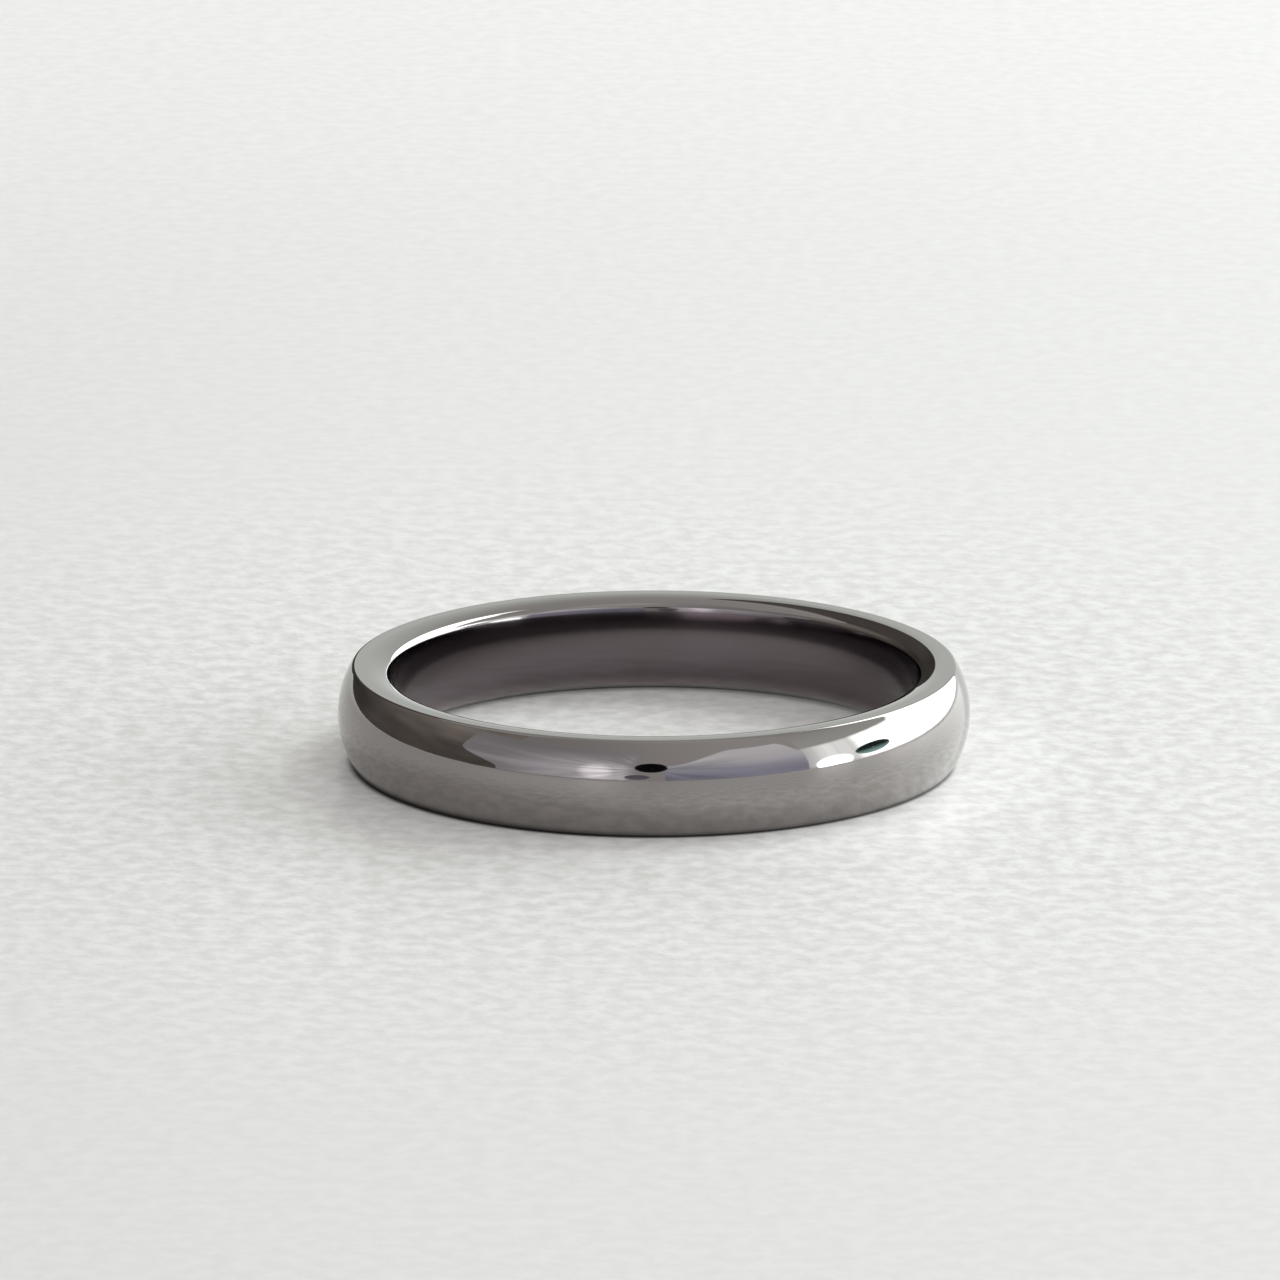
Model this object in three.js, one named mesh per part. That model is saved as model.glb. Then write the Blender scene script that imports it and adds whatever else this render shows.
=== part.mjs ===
// Wedding band: one polished metal ring lying flat on its rim.
// Millimetres, +Z up along the finger hole's axis, origin at the centre of the lower rim's plane.
//
// The cross-section is made of tangent arcs. Going round it from the outside:
// a domed outer face, a small broken edge, a narrow flat rim, a wide shallow roll that turns
// a tight corner into the bore, and a comfort-fit bore that is crowned towards the finger.
import * as THREE from 'three';

// Driving dimensions
const BAND_WIDTH = 3.0;        // along the finger, which is the ring's height as it lies
const OUTER_DIAMETER = 19.5;   // across the crest of the dome
const BORE_DIAMETER = 16.2;    // at the narrowest place, halfway across the band
const DOME_DROP = 0.46;        // how far the dome falls from its crest to the rim's corner
const EDGE_RADIUS = 0.12;      // broken edge between the dome and the flat rim
const ROLL_RADIUS = 1.5;       // wide shallow roll from the flat rim down towards the bore
const CORNER_RADIUS = 0.24;    // tight turn between the roll and the bore
const CROWN_RADIUS = 8.05;     // long arc of the comfort-fit bore, seen in cross-section
const CROWN_TILT = THREE.MathUtils.degToRad(8.4); // how far the bore flares before the corner

// Fineness of the faceted solid
const TURNS = 96;              // facets round the finger hole
const DOME_STEPS = 10;         // facets over the whole dome
const EDGE_STEPS = 3;
const ROLL_STEPS = 4;
const CORNER_STEPS = 3;
const CROWN_STEPS = 6;         // facets over the whole crown

const POLISHED_METAL = { color: 0x8f8682, roughness: 0.08, metalness: 1.0 };

const halfWidth = BAND_WIDTH / 2;
const outerRadius = OUTER_DIAMETER / 2;
const boreRadius = BORE_DIAMETER / 2;

// Points of an arc as (distance from the ring's axis, height above the band's middle).
function arc(centreRadius, centreHeight, radius, startAngle, endAngle, steps) {
  const points = [];
  for (let i = 0; i <= steps; i += 1) {
    const angle = startAngle + ((endAngle - startAngle) * i) / steps;
    points.push(new THREE.Vector2(
      centreRadius + radius * Math.cos(angle),
      centreHeight + radius * Math.sin(angle),
    ));
  }
  return points;
}

// The upper half of the section, from the dome's crest over the rim to the bore's middle.
function upperHalf() {
  // Dome: the circle through the crest and the two rim corners
  const domeRadius = (halfWidth ** 2 + DOME_DROP ** 2) / (2 * DOME_DROP);
  const domeCentre = outerRadius - domeRadius;

  // Broken edge: touches the dome from inside, and the rim's plane
  const edgeHeight = halfWidth - EDGE_RADIUS;
  const edgeCentre = domeCentre + Math.sqrt((domeRadius - EDGE_RADIUS) ** 2 - edgeHeight ** 2);
  const edgeAngle = Math.atan2(edgeHeight, edgeCentre - domeCentre);

  // Crown, corner and roll touch one another, and the roll touches the rim's plane
  const crownCentre = boreRadius + CROWN_RADIUS;
  const cornerReach = CROWN_RADIUS - CORNER_RADIUS;
  const cornerCentre = crownCentre - cornerReach * Math.cos(CROWN_TILT);
  const cornerHeight = cornerReach * Math.sin(CROWN_TILT);
  const rollHeight = halfWidth - ROLL_RADIUS;
  const rollReach = ROLL_RADIUS - CORNER_RADIUS;
  const rollTilt = Math.asin((cornerHeight - rollHeight) / rollReach);
  const rollCentre = cornerCentre + rollReach * Math.cos(rollTilt);

  const up = Math.PI / 2;
  const rollEnd = Math.PI - rollTilt;
  const cornerEnd = Math.PI - CROWN_TILT;
  const dome = arc(domeCentre, 0, domeRadius, 0, edgeAngle, DOME_STEPS / 2);
  const edge = arc(edgeCentre, edgeHeight, EDGE_RADIUS, edgeAngle, up, EDGE_STEPS);
  const roll = arc(rollCentre, rollHeight, ROLL_RADIUS, up, rollEnd, ROLL_STEPS);
  const corner = arc(cornerCentre, cornerHeight, CORNER_RADIUS, rollEnd, cornerEnd, CORNER_STEPS);
  const crown = arc(crownCentre, 0, CROWN_RADIUS, cornerEnd, Math.PI, CROWN_STEPS / 2);
  return [...dome, ...edge.slice(1), ...roll, ...corner.slice(1), ...crown.slice(1)];
}

// The whole closed section, mirrored about the band's middle and stood on the lower rim.
function section() {
  const upper = upperHalf();
  const lower = upper.slice(1, -1).reverse().map((p) => new THREE.Vector2(p.x, -p.y));
  const outline = [...upper, ...lower, upper[0]];
  return outline.map((p) => new THREE.Vector2(p.x, p.y + halfWidth));
}

function makeBand() {
  const geometry = new THREE.LatheGeometry(section(), TURNS);
  geometry.rotateX(Math.PI / 2);
  const band = new THREE.Mesh(geometry, new THREE.MeshStandardMaterial(POLISHED_METAL));
  band.name = 'band';
  return band;
}

const weddingBand = new THREE.Group();
weddingBand.add(makeBand());

export default weddingBand;
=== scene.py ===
import math

import bpy
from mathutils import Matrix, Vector


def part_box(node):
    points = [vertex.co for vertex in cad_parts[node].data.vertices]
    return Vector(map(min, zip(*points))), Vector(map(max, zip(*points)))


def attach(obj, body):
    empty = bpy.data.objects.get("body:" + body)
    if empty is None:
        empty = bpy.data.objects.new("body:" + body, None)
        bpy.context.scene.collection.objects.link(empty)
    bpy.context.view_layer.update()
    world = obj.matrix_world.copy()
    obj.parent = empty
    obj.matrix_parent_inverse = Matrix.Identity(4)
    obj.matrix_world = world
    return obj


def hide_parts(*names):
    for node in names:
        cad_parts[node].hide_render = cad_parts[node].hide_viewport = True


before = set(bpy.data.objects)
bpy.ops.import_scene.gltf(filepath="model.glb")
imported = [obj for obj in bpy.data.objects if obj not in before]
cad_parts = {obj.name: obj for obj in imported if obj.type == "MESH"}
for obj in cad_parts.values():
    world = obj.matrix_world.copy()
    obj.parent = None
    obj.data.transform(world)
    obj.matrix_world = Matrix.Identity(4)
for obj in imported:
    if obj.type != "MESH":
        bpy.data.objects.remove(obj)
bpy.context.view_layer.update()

# ---------------------------------------------------------------- sizes, in metres
MM = 0.001
band_low, band_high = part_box("band")
WIDTH = band_high.z - band_low.z
OUTER_RADIUS = (band_high.x - band_low.x) / 2
BORE_RADIUS = 8.1 * MM  # at the narrowest place, halfway across the band
DOME_DROP = 0.46 * MM  # from the dome's crest to the rim's corner
EDGE_RADIUS = 0.12 * MM  # broken edge between the dome and the flat rim
ROLL_RADIUS = 1.5 * MM  # wide shallow roll from the rim towards the bore
CORNER_RADIUS = 0.24 * MM  # tight turn between the roll and the bore
CROWN_RADIUS = 8.05 * MM  # long arc of the comfort-fit bore
CROWN_TILT = math.radians(8.4)  # how far the bore flares before the corner
CENTRE = (band_low + band_high) / 2

# facets round the ring, and along each part of half the section
TURNS = 384
DOME_STEPS = 28
EDGE_STEPS = 8
RIM_STEPS = 4
ROLL_STEPS = 14
CORNER_STEPS = 8
CROWN_STEPS = 12

# ---------------------------------------------------------------- camera
CAMERA_ELEVATION = 14.69  # degrees
CAMERA_DISTANCE = 0.390
CAMERA_LENS = 355.5
SENSOR_WIDTH = 36.0
CLIP_START, CLIP_END = 0.01, 20.0
AIM_RIGHT = -0.43 * MM
AIM_UP = 2.18 * MM


def direction(azimuth, elevation):
    """Unit vector from the ring: azimuth 0 is towards the camera, 90 is +X, in degrees."""
    a, e = math.radians(azimuth), math.radians(elevation)
    return Vector((math.sin(a) * math.cos(e), -math.cos(a) * math.cos(e), math.sin(e)))


def add_camera():
    data = bpy.data.cameras.new("camera")
    data.lens = CAMERA_LENS
    data.sensor_width = SENSOR_WIDTH
    data.clip_start = CLIP_START
    data.clip_end = CLIP_END
    camera = bpy.data.objects.new("camera", data)
    bpy.context.scene.collection.objects.link(camera)
    back = direction(0, CAMERA_ELEVATION)
    camera.location = CENTRE + back * CAMERA_DISTANCE
    right = Vector((1, 0, 0))
    target = CENTRE + right * AIM_RIGHT + back.cross(right) * AIM_UP
    camera.rotation_mode = "QUATERNION"
    camera.rotation_quaternion = (target - camera.location).to_track_quat("-Z", "Y")
    bpy.context.scene.camera = camera


# ---------------------------------------------------------------- the band's shape
def arc(centre_radius, centre_height, radius, start, end, steps):
    """Points of an arc as (distance from the axis, height above the band's middle)."""
    points = []
    for i in range(steps + 1):
        angle = start + (end - start) * i / steps
        points.append((
            centre_radius + radius * math.cos(angle),
            centre_height + radius * math.sin(angle),
        ))
    return points


def upper_half():
    """Half of the section, from the dome's crest over the rim to the bore's middle."""
    # the dome passes through its crest and the rim's corners
    half = WIDTH / 2
    dome_radius = (half**2 + DOME_DROP**2) / (2 * DOME_DROP)
    dome_centre = OUTER_RADIUS - dome_radius

    # the broken edge touches the dome from inside, and the rim's plane
    edge_height = half - EDGE_RADIUS
    edge_centre = dome_centre + math.sqrt((dome_radius - EDGE_RADIUS) ** 2 - edge_height**2)
    edge_angle = math.atan2(edge_height, edge_centre - dome_centre)

    # the crown, the corner and the roll touch one another, and the roll touches the rim's plane
    crown_centre = BORE_RADIUS + CROWN_RADIUS
    corner_reach = CROWN_RADIUS - CORNER_RADIUS
    corner_centre = crown_centre - corner_reach * math.cos(CROWN_TILT)
    corner_height = corner_reach * math.sin(CROWN_TILT)
    roll_height = half - ROLL_RADIUS
    roll_reach = ROLL_RADIUS - CORNER_RADIUS
    roll_tilt = math.asin((corner_height - roll_height) / roll_reach)
    roll_centre = corner_centre + roll_reach * math.cos(roll_tilt)

    up = math.pi / 2
    roll_end = math.pi - roll_tilt
    corner_end = math.pi - CROWN_TILT
    rim_width = edge_centre - roll_centre
    dome = arc(dome_centre, 0, dome_radius, 0, edge_angle, DOME_STEPS)
    edge = arc(edge_centre, edge_height, EDGE_RADIUS, edge_angle, up, EDGE_STEPS)
    rim = [(edge_centre - rim_width * i / RIM_STEPS, half) for i in range(1, RIM_STEPS)]
    roll = arc(roll_centre, roll_height, ROLL_RADIUS, up, roll_end, ROLL_STEPS)
    corner = arc(corner_centre, corner_height, CORNER_RADIUS, roll_end, corner_end, CORNER_STEPS)
    crown = arc(crown_centre, 0, CROWN_RADIUS, corner_end, math.pi, CROWN_STEPS)
    return dome + edge[1:] + rim + roll + corner[1:] + crown[1:]


def band_mesh():
    """The closed section turned once round the axis, in quads, smooth all over."""
    upper = upper_half()
    lower = [(r, -h) for r, h in reversed(upper[1:-1])]
    section = upper + lower
    vertices, faces = [], []
    for turn in range(TURNS):
        angle = 2 * math.pi * turn / TURNS
        for r, h in section:
            vertices.append((r * math.sin(angle), -r * math.cos(angle), CENTRE.z + h))
    count = len(section)
    for turn in range(TURNS):
        here, there = turn * count, (turn + 1) % TURNS * count
        for i in range(count):
            j = (i + 1) % count
            faces.append((here + i, there + i, there + j, here + j))
    mesh = bpy.data.meshes.new("band_metal")
    mesh.from_pydata(vertices, [], faces)
    mesh.update()
    mesh.polygons.foreach_set("use_smooth", [True] * len(mesh.polygons))
    return mesh


# ---------------------------------------------------------------- node trees
class Graph:
    """Shorthand for a node tree: values may be numbers or the sockets of other nodes."""

    def __init__(self, tree):
        self.nodes, self.links = tree.nodes, tree.links
        self.nodes.clear()

    def feed(self, socket, value):
        if isinstance(value, bpy.types.NodeSocket):
            self.links.new(value, socket)
        else:
            socket.default_value = value

    def node(self, kind, inputs, output=0, **settings):
        """Adds a node, feeds its inputs, and gives one of its outputs."""
        node = self.nodes.new(kind)
        for name, value in settings.items():
            setattr(node, name, value)
        for name, value in inputs.items():
            self.feed(node.inputs[name], value)
        return node.outputs[output]

    def add(self, a, b):
        return self.node("ShaderNodeMath", {0: a, 1: b}, operation="ADD")

    def less(self, a, b):
        return self.node("ShaderNodeMath", {0: a, 1: b}, operation="SUBTRACT")

    def times(self, a, b):
        return self.node("ShaderNodeMath", {0: a, 1: b}, operation="MULTIPLY")

    def over(self, a, b):
        return self.node("ShaderNodeMath", {0: a, 1: b}, operation="DIVIDE")

    def larger(self, a, b):
        return self.node("ShaderNodeMath", {0: a, 1: b}, operation="MAXIMUM")

    def angle(self, up, across):
        return self.node("ShaderNodeMath", {0: up, 1: across}, operation="ARCTAN2")

    def squares(self, a, b):
        return self.add(self.times(a, a), self.times(b, b))

    def hypotenuse(self, a, b):
        return self.node("ShaderNodeMath", {0: self.squares(a, b)}, operation="SQRT")

    def rise(self, value, start, end, low=0.0, high=1.0):
        """Goes smoothly from low to high while the value goes from start to end."""
        inputs = {"Value": value, "From Min": start, "From Max": end, "To Min": low, "To Max": high}
        return self.node("ShaderNodeMapRange", inputs, interpolation_type="SMOOTHSTEP")

    def vector(self, x, y, z):
        return self.node("ShaderNodeCombineXYZ", {"X": x, "Y": y, "Z": z})

    def parts(self, vector):
        return self.node("ShaderNodeSeparateXYZ", {"Vector": vector}).node.outputs

    def noise(self, vector, scale, detail):
        inputs = {"Vector": vector, "Scale": scale, "Detail": detail}
        return self.node("ShaderNodeTexNoise", inputs)

    def blend(self, factor, a, b):
        inputs = {0: factor, 6: a, 7: b}
        return self.node("ShaderNodeMix", inputs, 2, data_type="RGBA", clamp_factor=True)

    def scaled(self, colour, factor):
        inputs = {0: colour, "Scale": factor}
        return self.node("ShaderNodeVectorMath", inputs, operation="SCALE")

    def bump(self, height, distance):
        inputs = {"Strength": 1.0, "Distance": distance, "Height": height}
        return self.node("ShaderNodeBump", inputs)

    def surface(self, kind, shader):
        self.links.new(shader, self.nodes.new(kind).inputs["Surface"])


def new_graph(name):
    material = bpy.data.materials.new(name)
    material.use_nodes = True
    return material, Graph(material.node_tree)


# ---------------------------------------------------------------- materials
# each pair is the two ends of a faint mottling, as linear RGBA
METAL_TONES = (0.302, 0.279, 0.268, 1), (0.288, 0.271, 0.261, 1)
BORE_TONES = (0.150, 0.124, 0.132, 1), (0.136, 0.116, 0.122, 1)
SHEET_TONES = (0.68, 0.665, 0.64, 1), (0.85, 0.84, 0.815, 1)
# painted shade: the dark tone of the contact shadow under the rim
CONTACT_SHADE_TONE = (0.12, 0.11, 0.11, 1)
# colour of the painted light glowing from the floor
SHEET_GLOW = (1.0, 1.0, 0.98, 1)

# noise scales are features per metre
CLOUD_SCALE, LINE_SCALE, GRAIN_SCALE, RIPPLE_SCALE = 300.0, 9000.0, 4500.0, 1300.0
MOTTLE_SCALE = 1500.0
METAL_BUMP = 0.00045 * MM
SHEET_BUMP = 0.045 * MM
SHEET_GLOSS = 0.5


def polished_metal():
    """Dark grey metal, mirror polished, a little duller and darker inside the bore."""
    material, g = new_graph("dark_polished_metal")
    place = g.node("ShaderNodeTexCoord", {}, "Object")
    x, y, z = g.parts(place)
    radius = g.hypotenuse(x, y)
    outside = g.rise(radius, BORE_RADIUS + 0.05 * MM, BORE_RADIUS + 0.12 * MM)

    # faint polishing lines run round the ring
    clouds = g.noise(place, CLOUD_SCALE, 3.0)
    lines = g.noise(g.vector(radius, 0.0, z), LINE_SCALE, 2.0)
    grain = g.noise(place, GRAIN_SCALE, 2.0)
    ripples = g.noise(place, RIPPLE_SCALE, 2.0)

    colour = g.blend(outside, g.blend(clouds, *BORE_TONES), g.blend(clouds, *METAL_TONES))
    wear = g.add(g.times(lines, 0.020), g.times(grain, 0.025))
    roughness = g.add(wear, g.times(g.less(1.2, outside), 0.08))
    height = g.add(g.times(lines, 0.25), ripples)
    shader = g.node("ShaderNodeBsdfPrincipled", {
        "Base Color": colour,
        "Metallic": 1.0,
        "Roughness": roughness,
        "Normal": g.bump(height, METAL_BUMP),
    })
    g.surface("ShaderNodeOutputMaterial", shader)
    return material


def pale_floor():
    """Off-white sheet, its tooth strongest near the ring, with painted shade under the rim and
    painted glow near the ring and over the far floor.
    """
    material, g = new_graph("pale_floor")
    place = g.node("ShaderNodeTexCoord", {}, "Object")
    x = g.parts(place)[0]
    away = g.node("ShaderNodeVectorMath", {0: place}, "Value", operation="LENGTH")
    mottle = g.noise(place, MOTTLE_SCALE, 4.0)
    coarse = g.rise(away, 11 * MM, 45 * MM, 1.0, 0.25)
    tooth = g.times(g.rise(mottle, 0.3, 0.7, -0.5, 0.5), coarse)
    sheet = g.blend(g.add(tooth, 0.5), *SHEET_TONES)

    # the painted contact shade under the rim reaches further out on the shaded side, away from the
    # window
    shaded = g.add(away, g.rise(x, -OUTER_RADIUS, OUTER_RADIUS, -0.12 * MM, 0.0))
    outside = g.rise(shaded, OUTER_RADIUS - 0.60 * MM, OUTER_RADIUS - 0.30 * MM)
    inside = g.rise(away, BORE_RADIUS + 0.75 * MM, BORE_RADIUS + 0.50 * MM)
    clear = g.larger(outside, inside)

    # painted light: a glow from the sheet near the ring, standing in for bounce light, and a
    # painted glow over the far floor, standing in for light from a wider studio
    painted_near_glow = g.times(clear, g.rise(away, 14 * MM, 10.5 * MM, 0.0, 0.08))
    painted_far_glow = g.rise(away, 0.15, 0.90, 0.0, 0.40)
    shader = g.node("ShaderNodeBsdfPrincipled", {
        "Base Color": g.blend(clear, CONTACT_SHADE_TONE, sheet),
        "Specular IOR Level": SHEET_GLOSS,
        "Roughness": g.rise(away, 0.05, 0.14, 0.42, 1.0),
        "Emission Color": SHEET_GLOW,
        "Emission Strength": g.add(painted_near_glow, painted_far_glow),
        "Normal": g.bump(g.times(mottle, coarse), SHEET_BUMP),
    })
    g.surface("ShaderNodeOutputMaterial", shader)
    return material


# ---------------------------------------------------------------- the cards' paint
# Each paint function gives a glowing colour from the place on the card: azimuth and elevation
# as direction() takes them, in degrees.
def emitter(name, paint):
    material, g = new_graph(name)
    azimuth, elevation, _ = g.parts(g.node("ShaderNodeUVMap", {}, uv_map="place"))
    light = g.node("ShaderNodeEmission", {"Color": paint(g, azimuth, elevation)})
    g.surface("ShaderNodeOutputMaterial", light)
    return material


def folds(g, azimuth, elevation, fineness, depth):
    """Folds of a drape running out from the camera's place: deepest there, around a mean of 1."""
    across, up = g.add(azimuth, 1.0), g.less(elevation, 15.0)
    reach = g.hypotenuse(across, up)
    waves = g.noise(g.vector(g.angle(up, across), g.times(reach, 0.004), 0.0), fineness, 2.0)
    swing = g.rise(reach, 40.0, 10.0, 0.4 * depth, depth)
    return g.add(1.0, g.times(g.rise(waves, 0.25, 0.75, -1.0, 1.0), swing))


def room_level(g, azimuth):
    return g.rise(azimuth, -60, 50, 0.46, 0.74)


def paint_window(g, azimuth, elevation):
    """Brighter to the right and unevenly curtained, dimmer at its foot, soft along its top."""
    curtain = g.noise(g.vector(azimuth, 0.0, 0.0), 0.2, 1.0)
    level = g.larger(g.rise(azimuth, 56, 66, 1.3, 2.4), g.rise(azimuth, 74, 84, 0.0, 5.2))
    level = g.times(level, g.add(curtain, 0.5))
    level = g.times(level, g.rise(elevation, -3, 4, 0.45, 1.0))
    top = g.rise(azimuth, 101, 118, 26, 57)
    fade = g.rise(g.less(top, elevation), 0, 3, 1.0, 0.0)
    level = g.add(level, g.times(fade, g.less(0.8, level)))
    return g.scaled((0.95, 1.0, 1.01), level)


def paint_gleam(g, _azimuth, elevation):
    return g.scaled((0.92, 1.0, 1.01), g.rise(elevation, 9, 0, 4.0, 8.0))


def paint_dark_disc(g, _azimuth, elevation):
    return g.scaled((0.6, 1.0, 0.98), g.rise(elevation, 9, 4, 0.05, 1.0))


def paint_lens(g, _azimuth, elevation):
    return g.scaled((1.0, 1.0, 1.0), g.rise(elevation, 10, 24, 0.012, 0.006))


# painted shade: a dim card standing in for the camera's shade on the floor below the lens
def paint_camera_shade(g, _azimuth, elevation):
    return g.scaled((0.95, 0.9, 1.1), g.rise(elevation, 3, 9, 0.28, 0.2))


def paint_left_drape(g, azimuth, elevation):
    """A folded drape with a bright spot; it takes the room's level at its top and its right."""
    across, up = g.over(g.add(azimuth, 21.0), 6.0), g.over(g.less(elevation, 11.0), 9.0)
    spot = g.rise(g.squares(across, up), 1.6, 0.0, 0.0, 1.0)
    level = g.add(g.rise(azimuth, -62, -20, 0.62, 1.1), spot)
    level = g.times(level, folds(g, azimuth, elevation, 6.0, 0.5))
    plain = g.larger(g.rise(elevation, 14, 36), g.rise(azimuth, -13, -5))
    level = g.add(level, g.times(plain, g.less(room_level(g, azimuth), level)))
    return g.scaled((0.96, 0.95, 1.03), level)


def paint_right_drape(g, azimuth, elevation):
    """A folded drape, bluer and dimmer towards its foot."""
    level = g.add(g.rise(elevation, 3, 27, 0.48, 1.15), g.rise(azimuth, 10, 40, 0.0, 0.15))
    level = g.times(level, folds(g, azimuth, elevation, 3.0, 0.3))
    tint = g.blend(g.rise(elevation, 4, 26), (0.88, 0.90, 1.16, 1), (0.96, 0.97, 1.03, 1))
    return g.scaled(tint, level)


def paint_front_room(g, azimuth, elevation):
    level = g.times(room_level(g, azimuth), g.rise(elevation, 40, 80, 1.0, 1.2))
    return g.scaled((1.0, 0.98, 0.98), level)


def paint_dark_room(g, azimuth, elevation):
    """A dim, cluttered room, dimmest near the floor and behind the ring."""
    clutter = g.noise(g.vector(azimuth, g.times(elevation, 2.0), 0.0), 0.05, 1.0)
    level = g.times(g.rise(elevation, 6, 36, 0.15, 0.38), g.add(clutter, 0.5))
    level = g.times(level, g.rise(azimuth, -158, -110, 0.35, 1.0))
    return g.scaled((1.08, 0.98, 0.90), level)


# ---------------------------------------------------------------- the cards' outlines
# Each outline gives azimuth and elevation, in degrees, over the unit square of s and t.
def ease(value, start, end):
    t = min(max((value - start) / (end - start), 0.0), 1.0)
    return t * t * (3 - 2 * t)


def block(azimuths, elevations):
    return lambda s, t: (
        azimuths[0] + (azimuths[1] - azimuths[0]) * s,
        elevations[0] + (elevations[1] - elevations[0]) * t,
    )


def disc(azimuth, elevation, across, tall):
    def outline(s, t):
        turn, reach = 2 * math.pi * s, max(t, 0.02) / 2
        return azimuth + across * reach * math.cos(turn), elevation + tall * reach * math.sin(turn)
    return outline


def window_outline(s, t):
    azimuth = 57 + 98 * s
    return azimuth, t * (26 + 31 * ease(azimuth, 101, 118))


def left_drape_outline(s, t):
    elevation = 1 + 36 * t
    left = -58 - 17 * ease(elevation, 3, 18)
    return left + (-5 - left) * s, elevation


def right_drape_outline(s, t):
    azimuth = 4 + 53 * s
    top = 19 + 17 * ease(azimuth, 4, 32) - 14 * ease(azimuth, 50, 58)
    return azimuth, 1 + (top - 1) * t


# ---------------------------------------------------------------- stage
FLOOR_HALF = 8.0
FLOOR_HEIGHT = -0.02 * MM
CARD_STEPS = 32
WORLD_LOW, WORLD_HIGH = (0.83, 0.87, 0.84, 1), (0.64, 0.64, 0.63, 1)

# name, outline, distance from the ring in metres, paint
CARDS = [
    ("window", window_outline, 0.60, paint_window),
    ("window_gleam", disc(68, 3.5, 16, 14), 0.55, paint_gleam),
    ("window_dark_disc", disc(86, 8, 17, 9.5), 0.55, paint_dark_disc),
    ("left_drape", left_drape_outline, 0.45, paint_left_drape),
    ("right_drape", right_drape_outline, 0.45, paint_right_drape),
    ("lens", disc(-1, 17, 12, 11.5), 0.42, paint_lens),
    # painted shade: a dim card standing in for the camera's shade on the floor
    ("camera_shade", disc(-6, 5, 9, 6), 0.42, paint_camera_shade),
    ("front_room", block((-57, 57), (0, 88)), 1.2, paint_front_room),
    ("dark_room", block((-176, -57), (0.3, 46)), 2.5, paint_dark_room),
]


def stage_object(name, mesh, material):
    mesh.materials.append(material)
    obj = bpy.data.objects.new(name, mesh)
    bpy.context.scene.collection.objects.link(obj)


def add_floor():
    signs = ((-1, -1), (1, -1), (1, 1), (-1, 1))
    corners = [(x * FLOOR_HALF, y * FLOOR_HALF, FLOOR_HEIGHT) for x, y in signs]
    mesh = bpy.data.meshes.new("floor")
    mesh.from_pydata(corners, [], [(0, 1, 2, 3)])
    stage_object("floor", mesh, pale_floor())


def add_card(name, outline, distance, paint):
    """A piece of a sphere round the ring, glowing as its paint says."""
    row = CARD_STEPS + 1
    places = [outline(i / CARD_STEPS, j / CARD_STEPS) for i in range(row) for j in range(row)]
    faces = []
    for i in range(CARD_STEPS):
        for j in range(CARD_STEPS):
            here, there = i * row + j, (i + 1) * row + j
            faces.append((here, here + 1, there + 1, there))
    mesh = bpy.data.meshes.new(name)
    mesh.from_pydata([direction(*place) * distance for place in places], [], faces)
    uv = mesh.uv_layers.new(name="place")
    for loop in mesh.loops:
        uv.data[loop.index].uv = places[loop.vertex_index]
    stage_object(name, mesh, emitter(name, paint))


def add_world():
    """Soft light from all round, brightest at the horizon."""
    world = bpy.data.worlds.new("studio")
    world.use_nodes = True
    g = Graph(world.node_tree)
    height = g.parts(g.node("ShaderNodeTexCoord", {}, "Generated"))[2]
    colour = g.blend(g.rise(height, 0.45, 0.80), WORLD_LOW, WORLD_HIGH)
    background = g.node("ShaderNodeBackground", {"Color": colour})
    g.surface("ShaderNodeOutputWorld", background)
    bpy.context.scene.world = world


add_camera()
add_floor()
add_world()
for entry in CARDS:
    add_card(*entry)

band = bpy.data.objects.new("band_metal", band_mesh())
bpy.context.scene.collection.objects.link(band)
band.data.materials.append(polished_metal())
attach(band, "root")
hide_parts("band")

bpy.context.scene.view_settings.view_transform = "Standard"
